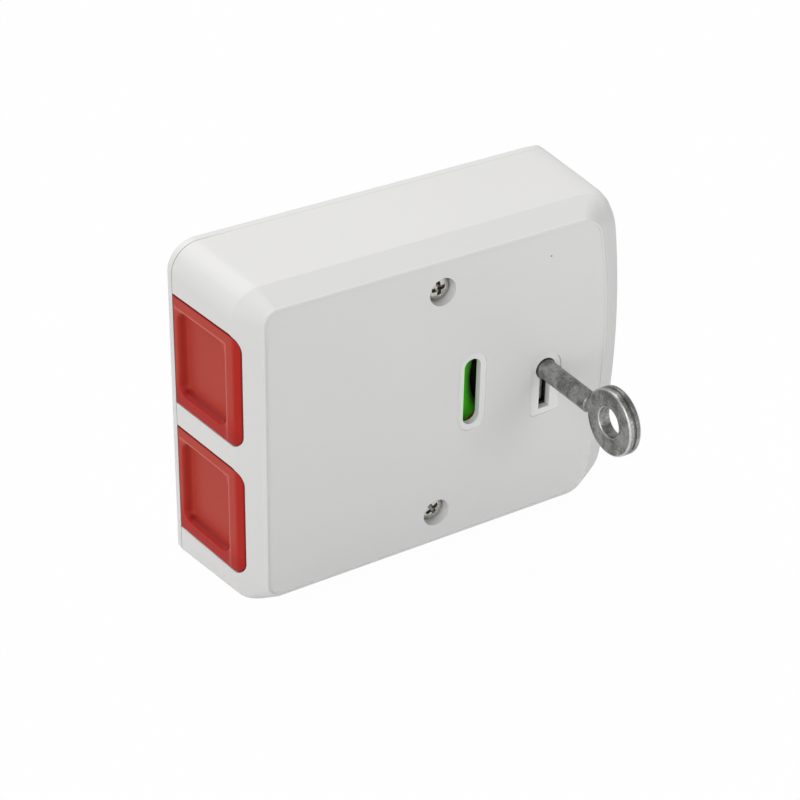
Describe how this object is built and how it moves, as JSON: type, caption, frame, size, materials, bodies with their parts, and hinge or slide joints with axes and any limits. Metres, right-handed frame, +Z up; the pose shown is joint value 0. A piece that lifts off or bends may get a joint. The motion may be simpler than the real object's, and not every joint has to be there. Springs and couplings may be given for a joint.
{
  "type": "panic button",
  "caption": "Wall box with two red squeeze buttons on its side, a reset keyhole with its key, and an indicator window.",
  "frame": {"origin": "centre of the flat rear face that lies on the wall", "axes": "+Z up, +X to the right seen from the front, +Y into the wall; the front panel faces -Y and the buttons are on -X"},
  "size_m": [0.09, 0.0582, 0.0706],
  "materials": {
    "housing_white": "finely textured moulding",
    "button_red": "satin",
    "key_zinc": "die-cast, mottled grey",
    "screw_steel": "plated",
    "spring_steel": "drawn wire",
    "flag_green": "glossy",
    "flag_red": "glossy",
    "rotor_black": "satin",
    "barrel_black": "satin",
    "board_green": "solder mask",
    "switch_black": "satin",
    "plunger_red": "satin",
    "terminal_green": "satin"
  },
  "bodies": {
    "housing": {"rear_cover": "housing_white", "front_cover": "housing_white", "cover_screws": "screw_steel", "circuit_board": "board_green", "board_screws": "screw_steel", "terminal_block": "terminal_green", "terminal_screws": "screw_steel", "tamper_switch": "switch_black", "upper_microswitch": "switch_black", "lower_microswitch": "switch_black", "upper_button_spring": "spring_steel", "lower_button_spring": "spring_steel"},
    "upper_button": {"upper_button": "button_red"},
    "lower_button": {"lower_button": "button_red"},
    "upper_plunger": {"upper_switch_plunger": "plunger_red"},
    "lower_plunger": {"lower_switch_plunger": "plunger_red"},
    "tamper_plunger": {"tamper_plunger": "plunger_red"},
    "trip_rotor": {"trip_rotor": "rotor_black", "green_flag": "flag_green", "red_flag": "flag_red"},
    "key_barrel": {"key_barrel": "barrel_black"},
    "reset_key": {"reset_key": "key_zinc"}
  },
  "joints": [
    {"name": "upper_button_press", "type": "slide", "parent": "housing", "child": "upper_button", "axis": [1, 0, 0], "range_m": [0, 0.003], "stiffness_N_per_m": 500, "springref_m": -0.003, "deforming": ["upper_button_spring"]},
    {"name": "upper_plunger_travel", "type": "slide", "parent": "housing", "child": "upper_plunger", "axis": [0, 1, 0], "range_m": [0, 0.0006]},
    {"name": "lower_button_press", "type": "slide", "parent": "housing", "child": "lower_button", "axis": [1, 0, 0], "range_m": [0, 0.003], "stiffness_N_per_m": 500, "springref_m": -0.003, "deforming": ["lower_button_spring"]},
    {"name": "lower_plunger_travel", "type": "slide", "parent": "housing", "child": "lower_plunger", "axis": [0, 1, 0], "range_m": [0, 0.0006]},
    {"name": "tamper_plunger_travel", "type": "slide", "parent": "housing", "child": "tamper_plunger", "axis": [0, 1, 0], "range_m": [0, 0.0004], "stiffness_N_per_m": 400, "springref_m": -0.001},
    {"name": "rotor_turn", "type": "hinge", "parent": "housing", "child": "trip_rotor", "pos_m": [0.0253, 0, 0.00045], "axis": [0, 1, 0], "range_deg": [0, 56]},
    {"name": "barrel_turn", "type": "hinge", "parent": "trip_rotor", "child": "key_barrel", "pos_m": [0.0253, 0, 0.00045], "axis": [0, 1, 0], "range_deg": [-56, 0]},
    {"name": "key_pull", "type": "slide", "parent": "key_barrel", "child": "reset_key", "axis": [0, -1, 0], "range_m": [0, 0.015]}
  ],
  "couplings": [
    {"joint": "upper_plunger_travel", "follows": "upper_button_press", "ratio": 0.2},
    {"joint": "lower_plunger_travel", "follows": "lower_button_press", "ratio": 0.2}
  ]
}
